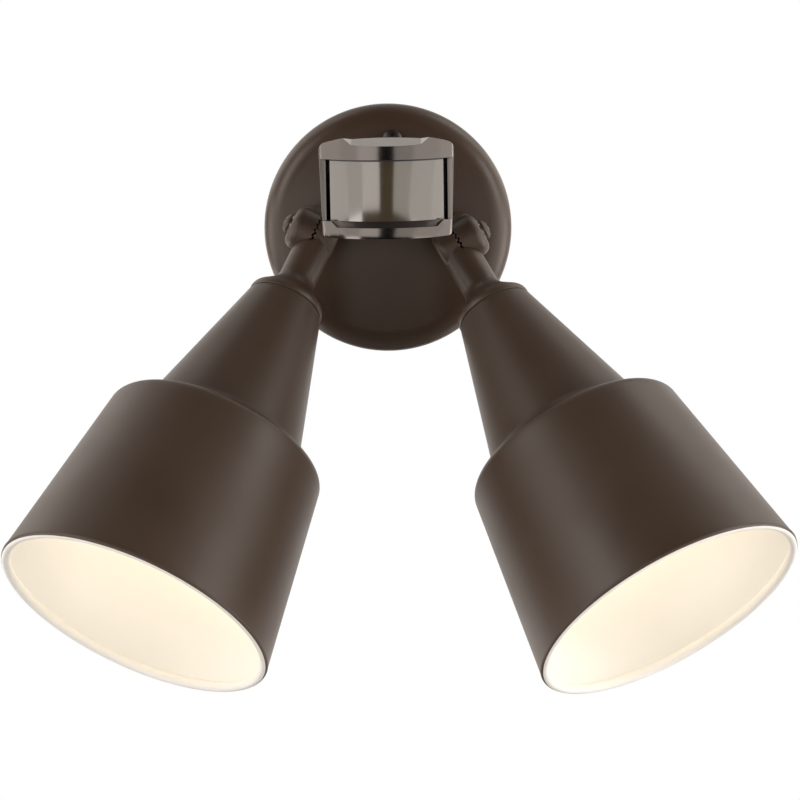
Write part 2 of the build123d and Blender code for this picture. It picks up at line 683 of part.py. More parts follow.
# rear housing: floor with the lower band, back wall, two cheeks and the lugs
with BuildPart() as sensor_housing:
    with BuildSketch(level(FLOOR - 0.5)) as lower_plan:
        with BuildLine():
            ThreePointArc((-31.6, -39.6), (0, -50.9), (31.6, -39.6))
            Line((31.6, -39.6), (31.0, BACK))
            Line((31.0, BACK), (-31.0, BACK))
            Line((-31.0, BACK), (-31.6, -39.6))
        make_face()
        fillet(lower_plan.vertices(), radius=2.4)
    with BuildSketch(level(SEAM)) as upper_plan:
        with BuildLine():
            ThreePointArc((-32.75, -39.0), (0, -50.6), (32.75, -39.0))
            Line((32.75, -39.0), (32.2, BACK))
            Line((32.2, BACK), (-32.2, BACK))
            Line((-32.2, BACK), (-32.75, -39.0))
        make_face()
        fillet(upper_plan.vertices(), radius=2.4)
    loft()
    # rounded lower corners
    for turn in (-1, 1):
        with BuildSketch(facing(-60)):
            with BuildLine():
                Line((turn * 28.8, FLOOR - 0.5), (turn * 28.8, FLOOR - 4))
                Line((turn * 28.8, FLOOR - 4), (turn * 36, FLOOR - 4))
                Line((turn * 36, FLOOR - 4), (turn * 36, FLOOR + 2.3))
                Line((turn * 36, FLOOR + 2.3), (turn * 31.72, FLOOR + 2.3))
                ThreePointArc((turn * 31.72, FLOOR + 2.3), (turn * 30.85, FLOOR + 0.32),
                              (turn * 28.8, FLOOR - 0.5))
            make_face()
        extrude(amount=-60, mode=Mode.SUBTRACT)
    # the floor rises half a millimetre behind the band
    with BuildSketch(side_on(-36)):
        with BuildLine():
            Polyline((-46.5, FLOOR - 0.5), (-38.0, FLOOR), (-10, FLOOR), (-10, FLOOR - 2), (-46.5, FLOOR - 2),
                     close=True)
        make_face()
    extrude(amount=72, mode=Mode.SUBTRACT)
    # open the front above the lower band, whose ends stand a little higher
    with BuildSketch(level(2.9)):
        with BuildLine():
            Polyline((-36, -60), (36, -60), (36, -40.4), (29.6, -38.4), (28.6, -36.8), (-28.6, -36.8),
                     (-29.6, -38.4), (-36, -40.4), close=True)
        make_face()
    extrude(amount=40, mode=Mode.SUBTRACT)
    with BuildSketch(facing(-60)):
        with BuildLine():
            Polyline((-24.4, 0.05), (24.4, 0.05), (27.6, 3.2), (-27.6, 3.2), close=True)
        make_face()
    extrude(amount=-23.2, mode=Mode.SUBTRACT)
    # hollow
    with BuildSketch(level(FLOOR + 2.2)):
        with BuildLine():
            ThreePointArc((-28.4, -37.5), (0, -47.6), (28.4, -37.5))
            Line((28.4, -37.5), (28.0, BACK - 2.2))
            Line((28.0, BACK - 2.2), (-28.0, BACK - 2.2))
            Line((-28.0, BACK - 2.2), (-28.4, -37.5))
        make_face()
    with BuildSketch(level(SEAM + 0.1)):
        with BuildLine():
            ThreePointArc((-29.6, -37.5), (0, -47.6), (29.6, -37.5))
            Line((29.6, -37.5), (29.2, BACK - 2.2))
            Line((29.2, BACK - 2.2), (-29.2, BACK - 2.2))
            Line((-29.2, BACK - 2.2), (-29.6, -37.5))
        make_face()
    loft(mode=Mode.SUBTRACT)
    # sloped sill from the lens down to the lower band
    with BuildSketch(level(-0.1)):
        with BuildLine():
            ThreePointArc((-29.0, -38.6), (0, -50.6), (29.0, -38.6))
            ThreePointArc((29.0, -38.6), (0, -46.6), (-29.0, -38.6))
        make_face()
    with BuildSketch(level(3.0)):
        with BuildLine():
            ThreePointArc((-28.6, -38.2), (0, -48.0), (28.6, -38.2))
            ThreePointArc((28.6, -38.2), (0, -46.6), (-28.6, -38.2))
        make_face()
    loft()
    # two lugs around the tongue
    for lug in (4.3, -8.5):
        with BuildSketch(side_on(lug)):
            with BuildLine():
                Line((BACK - 1, -4.7), (-3.0, -6.9))
                ThreePointArc((-3.0, -6.9), (7.52, 0), (-3.0, 6.9))
                Line((-3.0, 6.9), (BACK - 1, 9.0))
                Line((BACK - 1, 9.0), (BACK - 1, -4.7))
            make_face()
        extrude(amount=4.2)
    with BuildSketch(side_on(-14)):
        Circle(2.5)
    extrude(amount=28, mode=Mode.SUBTRACT)
    # posts that carry the circuit board
    with BuildSketch(facing(BACK - 2.0)):
        with Locations((-12, 26.0), (12, 26.0), (-21, 8.0), (21, 8.0)):
            Circle(2.4)
    extrude(amount=8.5)
    # dial holes in the floor
    with BuildSketch(level(FLOOR - 1)):
        with Locations((-13, -27), (13, -27)):
            Circle(5.2)
    extrude(amount=4.5, mode=Mode.SUBTRACT)
    # screw holes in the back wall and the cable hole between the lugs
    with BuildSketch(facing(BACK + 3)):
        with Locations((-21, 27.0), (21, 27.0)):
            Circle(1.7)
        with Locations((0, 14.0)):
            Circle(3.0)
    extrude(amount=9, mode=Mode.SUBTRACT)
save(sensor_housing, "sensor_housing")

# upper cover: arched roof and the upper band, with two lugs for the screws
with BuildPart() as sensor_cover:
    with BuildSketch(level(SEAM + 0.15)) as cover_plan:
        with BuildLine():
            ThreePointArc((-32.8, -39.4), (0, -51.2), (32.8, -39.4))
            Line((32.8, -39.4), (32.3, BACK))
            Line((32.3, BACK), (-32.3, BACK))
            Line((-32.3, BACK), (-32.8, -39.4))
        make_face()
        fillet(cover_plan.vertices(), radius=2.4)
    extrude(amount=12.5)
    # arched roof that falls toward the back, with rounded corners
    with BuildSketch(facing(-60)):
        with BuildLine():
            Line((-32.95, 41.37), (-40, 41.37))
            Polyline((-40, 41.37), (-40, 70), (40, 70), (40, 41.37), (32.95, 41.37))
            ThreePointArc((32.95, 41.37), (32.10, 43.69), (29.95, 44.92))
            ThreePointArc((29.95, 44.92), (0, 47.43), (-29.95, 44.92))
            ThreePointArc((-29.95, 44.92), (-32.10, 43.69), (-32.95, 41.37))
        make_face()
    extrude(amount=60, dir=ey * math.cos(ROOF_FALL) - ez * math.sin(ROOF_FALL), mode=Mode.SUBTRACT)
    # hollow
    with BuildSketch(level(SEAM)):
        with BuildLine():
            ThreePointArc((-29.9, -38.2), (0, -48.6), (29.9, -38.2))
            Line((29.9, -38.2), (29.6, BACK - 2.2))
            Line((29.6, BACK - 2.2), (-29.6, BACK - 2.2))
            Line((-29.6, BACK - 2.2), (-29.9, -38.2))
        make_face()
    extrude(amount=1.9, mode=Mode.SUBTRACT)
    # sloped facet across the top of the band, with slanted ends
    with BuildSketch(facing(-56.0)):
        with BuildLine():
            Polyline((-16.9, 38.70), (16.9, 38.70), (46.8, 60.5), (-46.8, 60.5), close=True)
        make_face()
    extrude(amount=60, dir=ey * math.cos(FACET) + ez * math.sin(FACET), mode=Mode.SUBTRACT)
    # screw lugs
    with BuildSketch(level(SEAM - 9.5)):
        with Locations((-21, -19.9), (21, -19.9)):
            Rectangle(8, 8)
    extrude(amount=12.0)
    with BuildSketch(facing(BACK + 3)):
        with Locations((-21, 27.0), (21, 27.0)):
            Circle(1.45)
    extrude(amount=12, mode=Mode.SUBTRACT)
save(sensor_cover, "sensor_cover")

with BuildPart() as sensor_cover_screws:
    with BuildSketch(facing(BACK)):
        with Locations((-21, 27.0), (21, 27.0)):
            Circle(1.4)
    extrude(amount=8.0)
    with BuildSketch(facing(BACK + 1.6)):
        with Locations((-21, 27.0), (21, 27.0)):
            Circle(2.9)
    extrude(amount=1.6)
save(sensor_cover_screws, "sensor_cover_screws")

# curved lens, a little fuller at mid height
with BuildPart() as sensor_lens:
    with BuildSketch(level(3.0)):
        with BuildLine():
            ThreePointArc((-27.7, -39.6), (0, -49.2), (27.7, -39.6))
            Line((27.7, -39.6), (27.1, -38.2))
            ThreePointArc((27.1, -38.2), (0, -47.7), (-27.1, -38.2))
            Line((-27.1, -38.2), (-27.7, -39.6))
        make_face()
    extrude(amount=SEAM - 3.1)
save(sensor_lens, "sensor_lens")

# circuit board upright behind the lens
with BuildPart() as circuit_board:
    with BuildSketch(facing(-24.0)):
        with Locations((0, 17.2)):
            Rectangle(50, 26)
    extrude(amount=1.6)
save(circuit_board, "circuit_board")

# pyroelectric detector in its metal can
with BuildPart() as pir_detector:
    with BuildSketch(facing(-25.6)):
        with Locations((0, 20.0)):
            Circle(4.6)
    extrude(amount=1.0)
    with BuildSketch(facing(-26.6)):
        with Locations((0, 20.0)):
            Circle(4.1)
    extrude(amount=3.6)
save(pir_detector, "pir_detector")

with BuildPart() as photocell:
    with BuildSketch(facing(-25.6)):
        with Locations((14, 24.0)):
            Circle(2.5)
    extrude(amount=2.2)
save(photocell, "photocell")

with BuildPart() as relay:
    with BuildSketch(facing(-25.6)):
        with Locations((-16, 14.0)):
            RectangleRounded(15, 19, 0.8)
    extrude(amount=13.0)
save(relay, "relay")

with BuildPart() as capacitor:
    with BuildSketch(facing(-25.6)):
        with Locations((15, 9.5)):
            Circle(5.0)
    extrude(amount=12.0)
save(capacitor, "capacitor")

# trimmer bodies on the floor of the housing and their two dials below
with BuildPart() as dial_trimmers:
    with BuildSketch(level(FLOOR + 4.6)):
        with Locations((-13, -27), (13, -27)):
            Rectangle(10, 2.2)
    with BuildSketch(level(FLOOR + 2.2)):
        with Locations((-13, -31.5), (13, -31.5)):
            Rectangle(11.0, 3.4)
        with Locations((-13, -22.5), (13, -22.5)):
            Rectangle(11.0, 3.4)
    extrude(amount=2.6)
    with BuildSketch(level(FLOOR + 4.8)):
        with Locations((-13, -27), (13, -27)):
            Rectangle(11.0, 12.4)
    extrude(amount=2.4)
save(dial_trimmers, "dial_trimmers")

for dial_name, dx in (("time_dial", -13), ("range_dial", 13)):
    with BuildPart() as dial:
        with BuildSketch(level(FLOOR - 1.4)):
            with Locations((dx, -27)):
                Circle(4.8)
        extrude(amount=3.4)
        with BuildSketch(level(FLOOR + 2.0)):
            with Locations((dx, -27)):
                Circle(2.0)
        extrude(amount=2.5)
        with BuildSketch(level(FLOOR - 2.4)):
            with Locations((dx, -27)):
                Rectangle(1.2, 7.0)
        extrude(amount=1.8, mode=Mode.SUBTRACT)
    save(dial, dial_name)

# collar tabs of the lens behind the cover and the sill
with BuildPart() as lens_gasket:
    with BuildSketch(level(3.0)):
        with BuildLine():
            ThreePointArc((-26.9, -37.9), (0, -47.4), (26.9, -37.9))
            Line((26.9, -37.9), (26.5, -37.0))
            ThreePointArc((26.5, -37.0), (0, -46.3), (-26.5, -37.0))
            Line((-26.5, -37.0), (-26.9, -37.9))
        make_face()
    extrude(amount=1.6)
save(lens_gasket, "lens_gasket")
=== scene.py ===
import json
import math

import bmesh
import bpy
import numpy as np
from mathutils import Matrix, Vector


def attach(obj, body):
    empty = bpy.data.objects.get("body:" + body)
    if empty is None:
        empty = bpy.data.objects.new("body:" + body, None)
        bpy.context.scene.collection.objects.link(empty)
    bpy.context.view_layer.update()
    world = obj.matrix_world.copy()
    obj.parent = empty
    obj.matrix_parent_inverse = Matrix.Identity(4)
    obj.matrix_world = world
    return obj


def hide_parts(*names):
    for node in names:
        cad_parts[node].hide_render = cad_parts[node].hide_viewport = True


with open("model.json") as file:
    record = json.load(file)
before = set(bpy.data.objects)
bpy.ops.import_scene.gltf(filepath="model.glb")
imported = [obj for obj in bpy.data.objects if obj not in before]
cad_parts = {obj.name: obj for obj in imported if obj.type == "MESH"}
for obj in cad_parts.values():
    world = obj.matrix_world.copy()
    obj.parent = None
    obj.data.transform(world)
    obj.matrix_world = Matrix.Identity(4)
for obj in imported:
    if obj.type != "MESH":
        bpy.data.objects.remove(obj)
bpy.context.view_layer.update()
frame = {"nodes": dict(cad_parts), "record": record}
NODES = frame["nodes"]
BODIES = frame["record"]["behaviour"]["bodies"]
BODY_OF = {n: b for b, ns in BODIES.items() for n in ns}
SLOT_OF = {s["node"]: s["material_slot"] for s in frame["record"]["subparts"]}
MM = 0.001

# ------------------------------------------------------------------ camera
YAW, PITCH, ROLL = -0.00015, -0.07232, 0.05160
fwd = Vector((math.sin(YAW) * math.cos(PITCH), math.cos(YAW) * math.cos(PITCH), math.sin(PITCH)))
right = Vector((math.cos(YAW), -math.sin(YAW), 0))
up = right.cross(fwd)
r2 = right * math.cos(ROLL) + up * math.sin(ROLL)
u2 = -right * math.sin(ROLL) + up * math.cos(ROLL)
cam_data = bpy.data.cameras.new("camera")
cam = bpy.data.objects.new("camera", cam_data)
bpy.context.scene.collection.objects.link(cam)
cam_data.sensor_width = 36.0
cam_data.sensor_fit = "HORIZONTAL"
cam_data.lens = 2908.27 / 800 * 36.0
cam_data.clip_start, cam_data.clip_end = 0.05, 50
m = Matrix.Identity(4)
for i in range(3):
    m[i][0], m[i][1], m[i][2] = r2[i], u2[i], -fwd[i]
m[0][3], m[1][3], m[2][3] = 0.010997, -1.5, 0.020
cam.matrix_world = m
bpy.context.scene.camera = cam


# --------------------------------------------------------------- node tools
class Shader:
    """A small wrapper round a node tree."""

    def __init__(self, name, world=False):
        if world:
            self.owner = bpy.data.worlds.new(name)
        else:
            self.owner = bpy.data.materials.new(name)
        self.owner.use_nodes = True
        self.t = self.owner.node_tree
        self.t.nodes.clear()

    def add(self, kind, **values):
        n = self.t.nodes.new(kind)
        for k, v in values.items():
            if k.startswith("in_"):
                key = k[3:].replace("_", " ")
                n.inputs[key].default_value = v
            else:
                setattr(n, k, v)
        return n

    def link(self, a, b):
        self.t.links.new(a, b)


def paint(name, colour, rough, bump=0.03, scale=1500.0, vary=0.06, rough_vary=0.05, metallic=0.0,
          specular=0.5, coat=0.0, coat_rough=0.1, ior=1.5, wear=0.0, wear_colour=(0.3, 0.28, 0.25), patch=22.0,
          sheen=0.0, emission=None, strength=0.0):
    """A principled surface with large soft colour variation, fine grain and edge wear."""
    s = Shader(name)
    out = s.add("ShaderNodeOutputMaterial")
    p = s.add("ShaderNodeBsdfPrincipled")
    s.link(p.outputs[0], out.inputs[0])
    p.inputs["Metallic"].default_value = metallic
    p.inputs["Specular IOR Level"].default_value = specular
    p.inputs["IOR"].default_value = ior
    p.inputs["Coat Weight"].default_value = coat
    p.inputs["Coat Roughness"].default_value = coat_rough
    p.inputs["Sheen Weight"].default_value = sheen
    tc = s.add("ShaderNodeTexCoord")
    n1 = s.add("ShaderNodeTexNoise", in_Scale=patch, in_Detail=4.0, in_Roughness=0.55)
    s.link(tc.outputs["Object"], n1.inputs["Vector"])
    n2 = s.add("ShaderNodeTexNoise", in_Scale=scale, in_Detail=3.0, in_Roughness=0.6)
    s.link(tc.outputs["Object"], n2.inputs["Vector"])
    ramp = s.add("ShaderNodeMapRange")
    ramp.inputs["From Min"].default_value = 0.3
    ramp.inputs["From Max"].default_value = 0.7
    ramp.inputs["To Min"].default_value = 1 - vary
    ramp.inputs["To Max"].default_value = 1 + vary
    s.link(n1.outputs["Fac"], ramp.inputs["Value"])
    mul = s.add("ShaderNodeVectorMath", operation="SCALE")
    mul.inputs[0].default_value = colour[:3]
    s.link(ramp.outputs[0], mul.inputs["Scale"])
    colour_out = mul.outputs[0]
    grain = s.add("ShaderNodeMapRange")
    grain.inputs["From Min"].default_value = 0.25
    grain.inputs["From Max"].default_value = 0.75
    grain.inputs["To Min"].default_value = 1 - vary * 0.7
    grain.inputs["To Max"].default_value = 1 + vary * 0.7
    s.link(n2.outputs["Fac"], grain.inputs["Value"])
    mul2 = s.add("ShaderNodeVectorMath", operation="SCALE")
    s.link(colour_out, mul2.inputs[0])
    s.link(grain.outputs[0], mul2.inputs["Scale"])
    colour_out = mul2.outputs[0]
    if wear > 0:
        geo = s.add("ShaderNodeNewGeometry")
        edge = s.add("ShaderNodeMapRange")
        edge.inputs["From Min"].default_value = 0.52
        edge.inputs["From Max"].default_value = 0.62
        edge.inputs["To Min"].default_value = 0.0
        edge.inputs["To Max"].default_value = wear
        s.link(geo.outputs["Pointiness"], edge.inputs["Value"])
        mix = s.add("ShaderNodeMix", data_type="RGBA")
        s.link(edge.outputs[0], mix.inputs[0])
        s.link(colour_out, mix.inputs[6])
        mix.inputs[7].default_value = (*wear_colour, 1)
        colour_out = mix.outputs[2]
    s.link(colour_out, p.inputs["Base Color"])
    rr = s.add("ShaderNodeMapRange")
    rr.inputs["From Min"].default_value = 0.3
    rr.inputs["From Max"].default_value = 0.7
    rr.inputs["To Min"].default_value = max(0.02, rough - rough_vary)
    rr.inputs["To Max"].default_value = rough + rough_vary
    s.link(n1.outputs["Fac"], rr.inputs["Value"])
    s.link(rr.outputs[0], p.inputs["Roughness"])
    if bump > 0:
        b = s.add("ShaderNodeBump")
        b.inputs["Strength"].default_value = bump
        b.inputs["Distance"].default_value = 0.0003
        s.link(n2.outputs["Fac"], b.inputs["Height"])
        s.link(b.outputs[0], p.inputs["Normal"])
    if emission:
        p.inputs["Emission Color"].default_value = (*emission, 1)
        p.inputs["Emission Strength"].default_value = strength
    return s.owner


BRONZE = (0.0575, 0.0352, 0.0222)
M = {
    "bronze": paint("bronze_paint", BRONZE, 0.46, bump=0.10, scale=1400, vary=0.05, specular=0.5, wear=0.10,
                    wear_colour=(0.075, 0.058, 0.044)),
    # a little darker, glossier copy of the bronze for the canopy: the lower roughness is a finish, the darker colour
    # is painted shade for its shadowed centre
    "canopy": paint("canopy_paint_shaded", (0.056, 0.0336, 0.0212), 0.38, bump=0.10, scale=1400, vary=0.05, specular=0.47,
                    wear=0.10, wear_colour=(0.075, 0.058, 0.044)),
    # near-black copy of the bronze for the canopy screw: painted shade where the head sits just above the sensor
    "screw_shaded": paint("screw_head_painted_shade", (0.020, 0.013, 0.010), 0.42, bump=0.08, scale=1200, vary=0.05),
    "inner": paint("inner_white", (0.83, 0.82, 0.79), 0.42, bump=0.06, scale=900, vary=0.012, specular=0.4),
    "foam": paint("foam", (0.035, 0.035, 0.036), 0.9, bump=0.7, scale=1600, vary=0.2, specular=0.2),
    "zinc": paint("zinc", (0.56, 0.56, 0.54), 0.34, bump=0.10, scale=700, vary=0.10, metallic=1.0, rough_vary=0.10),
    "green": paint("green_screw", (0.03, 0.20, 0.07), 0.35, bump=0.08, scale=900, metallic=0.7),
    "rubber": paint("rubber", (0.018, 0.018, 0.018), 0.75, bump=0.25, scale=1300, vary=0.15, specular=0.3),
    "porcelain": paint("porcelain", (0.78, 0.76, 0.71), 0.14, bump=0.04, scale=350, vary=0.02, coat=0.4),
    "brass": paint("brass", (0.62, 0.43, 0.16), 0.28, bump=0.10, scale=800, vary=0.08, metallic=1.0),
    "aluminium": paint("aluminium", (0.76, 0.76, 0.77), 0.30, bump=0.10, scale=800, vary=0.05, metallic=1.0),
    "lamp_plastic": paint("lamp_plastic", (0.84, 0.84, 0.82), 0.30, bump=0.05, scale=700, vary=0.02),
    "opal": paint("opal_globe", (0.92, 0.88, 0.80), 0.28, bump=0.03, scale=500, vary=0.01,
                  emission=(1.0, 0.85, 0.64), strength=3.0),
    "gunmetal": paint("gunmetal", (0.128, 0.116, 0.110), 0.15, bump=0.02, scale=900, vary=0.02, metallic=1.0,
                      rough_vary=0.02),
    # darker, rougher copy of the gunmetal for the sill ledge: painted shade
    "gunmetal_sill_painted_shade": paint("gunmetal_sill_painted_shade", (0.105, 0.092, 0.086), 0.50, bump=0.02, scale=900, vary=0.02,
                           metallic=1.0, rough_vary=0.02),
    # lighter copy of the gunmetal for the cover facet: painted highlight
    "gunmetal_painted_highlight": paint("gunmetal_painted_highlight", (0.370, 0.350, 0.335), 0.22, bump=0.02, scale=900, vary=0.02,
                          metallic=1.0, rough_vary=0.02),
    "board": paint("board", (0.012, 0.085, 0.035), 0.35, bump=0.12, scale=1200, vary=0.2),
    "can": paint("detector_can", (0.68, 0.65, 0.56), 0.26, bump=0.05, scale=800, vary=0.04, metallic=1.0),
    "black": paint("black_plastic", (0.014, 0.014, 0.016), 0.40, bump=0.15, scale=1100, vary=0.1),
    "cell": paint("cell_resin", (0.40, 0.24, 0.12), 0.15, bump=0.05, scale=900, vary=0.1, coat=0.5),
    "knob": paint("knob", (0.60, 0.60, 0.57), 0.36, bump=0.12, scale=1000, vary=0.05),
}
# tinted lens: dark olive-brown body with a strong gloss
M["lens"] = paint("tinted_lens", (0.058, 0.044, 0.025), 0.12, bump=0.0, vary=0.03, rough_vary=0.01, ior=2.26,
                  specular=0.5)

SLOT_MAT = {
    "bronze_paint": "bronze", "shade_paint": "bronze", "foam": "foam", "zinc_steel": "zinc",
    "green_screw": "green", "rubber": "rubber", "porcelain": "porcelain", "brass": "brass",
    "aluminium": "aluminium", "lamp_plastic": "lamp_plastic", "opal": "opal", "sensor_shell": "gunmetal",
    "sensor_window": "lens", "board": "board", "detector_can": "can", "black_part": "black",
    "cell": "cell", "knob": "knob",
}


def set_material(obj, mat):
    obj.data.materials.clear()
    obj.data.materials.append(mat)


def smooth_by_angle(mesh, degrees):
    bm = bmesh.new()
    bm.from_mesh(mesh)
    lim = math.radians(degrees)
    for f in bm.faces:
        f.smooth = True
    for e in bm.edges:
        e.smooth = not (len(e.link_faces) == 2 and e.calc_face_angle(0) > lim)
    bm.to_mesh(mesh)
    bm.free()


def new_object(name, mesh, body, mat=None, replaces=()):
    o = bpy.data.objects.new(name, mesh)
    bpy.context.scene.collection.objects.link(o)
    if mat:
        set_material(o, mat)
    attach(o, body)
    for n in replaces:
        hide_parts(n)
    return o


def apply_modifiers(o):
    dg = bpy.context.evaluated_depsgraph_get()
    me = bpy.data.meshes.new_from_object(o.evaluated_get(dg), depsgraph=dg)
    old = o.data
    o.modifiers.clear()
    o.data = me
    return o


def welded(node, dissolve=0.6):
    """A welded copy of a node's mesh, with the flat triangles joined into faces."""
    src = NODES[node].data
    bm = bmesh.new()
    bm.from_mesh(src)
    bmesh.ops.remove_doubles(bm, verts=bm.verts, dist=2e-6)
    bmesh.ops.dissolve_degenerate(bm, edges=bm.edges, dist=1e-6)
    if dissolve:
        bmesh.ops.dissolve_limit(bm, angle_limit=math.radians(dissolve), verts=bm.verts, edges=bm.edges)
    bmesh.ops.recalc_face_normals(bm, faces=bm.faces)
    me = bpy.data.meshes.new(node + "_piece")
    bm.to_mesh(me)
    bm.free()
    return me


def refined(node, mat, bevel=0.35, angle=28, segments=3, smooth=30, name=None):
    """The node with small rounded edges, standing in its place."""
    me = welded(node)
    o = bpy.data.objects.new(name or node + "_piece", me)
    bpy.context.scene.collection.objects.link(o)
    b = o.modifiers.new("bevel", "BEVEL")
    b.width = bevel * MM
    b.segments = segments
    b.limit_method = "ANGLE"
    b.angle_limit = math.radians(angle)
    b.use_clamp_overlap = True
    b.miter_outer = "MITER_ARC"
    b.harden_normals = False
    apply_modifiers(o)
    set_material(o, mat)
    smooth_by_angle(o.data, smooth)
    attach(o, BODY_OF[node])
    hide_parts(node)
    return o


def cast(node, mat, voxel=0.35, rounds=4, name=None):
    """The node as a casting: every inner corner gets a small fillet."""
    me = welded(node, dissolve=0)
    o = bpy.data.objects.new(name or node + "_piece", me)
    bpy.context.scene.collection.objects.link(o)
    r = o.modifiers.new("remesh", "REMESH")
    r.mode = "VOXEL"
    r.voxel_size = voxel * MM
    r.adaptivity = 0.0
    sm = o.modifiers.new("smooth", "SMOOTH")
    sm.factor = 0.5
    sm.iterations = rounds
    apply_modifiers(o)
    set_material(o, mat)
    for p in o.data.polygons:
        p.use_smooth = True
    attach(o, BODY_OF[node])
    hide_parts(node)
    return o


# ------------------------------------------------------------ head geometry
HOLE_X, HOLE_Z = 38.62, -4.33
HEADS = {"left": (-1, 22.54, 30.99), "right": (1, 33.35, 29.71)}


def head_frame(side_name):
    side, az_deg, el_deg = HEADS[side_name]
    az, el = math.radians(az_deg) * side, math.radians(el_deg)
    d = Vector((math.sin(az) * math.cos(el), -math.sin(el), -math.cos(az) * math.cos(el)))
    out = Vector((math.cos(az), 0, math.sin(az))) * side
    K = Vector((side * HOLE_X, -40.0, HOLE_Z)) - out * 4.6
    return K, d, out


def arc3(a, b, c, n):
    """n + 1 points on the circle through a, b, c, from a to c."""
    ax, ay = a
    bx, by = b
    cx, cy = c
    dd = 2 * (ax * (by - cy) + bx * (cy - ay) + cx * (ay - by))
    ux = ((ax * ax + ay * ay) * (by - cy) + (bx * bx + by * by) * (cy - ay) + (cx * cx + cy * cy) * (ay - by)) / dd
    uy = ((ax * ax + ay * ay) * (cx - bx) + (bx * bx + by * by) * (ax - cx) + (cx * cx + cy * cy) * (bx - ax)) / dd
    r = math.hypot(ax - ux, ay - uy)
    t0, t1, t2 = (math.atan2(q[1] - uy, q[0] - ux) for q in (a, b, c))

    def turn(s, e):
        return (e - s) % (2 * math.pi)
    if turn(t0, t1) <= turn(t0, t2):
        sweep = turn(t0, t2)
    else:
        sweep = turn(t0, t2) - 2 * math.pi
    return [(ux + r * math.cos(t0 + sweep * i / n), uy + r * math.sin(t0 + sweep * i / n)) for i in range(n + 1)]


def line(a, b, n):
    return [(a[0] + (b[0] - a[0]) * i / n, a[1] + (b[1] - a[1]) * i / n) for i in range(n + 1)]


def revolve(name, origin, axis, xdir, profile, mats, closed=True, segments=192, sharp=35):
    """profile: list of (radius, height, material index) in mm about origin + axis."""
    ydir = axis.cross(xdir)
    bm = bmesh.new()
    rings = []
    for r, h, _ in profile:
        if r < 1e-6:
            rings.append([bm.verts.new((origin + axis * h) * MM)])
        else:
            rings.append([bm.verts.new((origin + axis * h + (xdir * math.cos(2 * math.pi * k / segments)
                                                             + ydir * math.sin(2 * math.pi * k / segments)) * r) * MM)
                          for k in range(segments)])
    n = len(profile)
    last = n if closed else n - 1
    for i in range(last):
        a, b = rings[i], rings[(i + 1) % n]
        mi = profile[i][2]
        for k in range(segments):
            k2 = (k + 1) % segments
            if len(a) == 1 and len(b) == 1:
                continue
            if len(a) == 1:
                f = bm.faces.new((a[0], b[k2], b[k]))
            elif len(b) == 1:
                f = bm.faces.new((a[k], a[k2], b[0]))
            else:
                f = bm.faces.new((a[k], a[k2], b[k2], b[k]))
            f.material_index = mi
    bmesh.ops.recalc_face_normals(bm, faces=bm.faces)
    me = bpy.data.meshes.new(name)
    bm.to_mesh(me)
    bm.free()
    for mt in mats:
        me.materials.append(mt)
    smooth_by_angle(me, sharp)
    return me


# ------------------------------------------------------------------- shades
SEAM_T, NECK_R = 43.57, 19.26
CONE_T, CONE_R = 124.0, 40.81
DRUM_T, DRUM_R = 126.96, 54.48
MOUTH_T, MOUTH_R = 225.70, 67.96
W = 1.0
slope_c = (CONE_R - NECK_R) / (CONE_T - SEAM_T)
slope_d = (MOUTH_R - DRUM_R) / (MOUTH_T - DRUM_T)
t0 = SEAM_T + 0.12
FLARE_A, FLARE_M, FLARE_B = (39.24, 118.10), (41.88, 122.64), (46.47, 125.21)


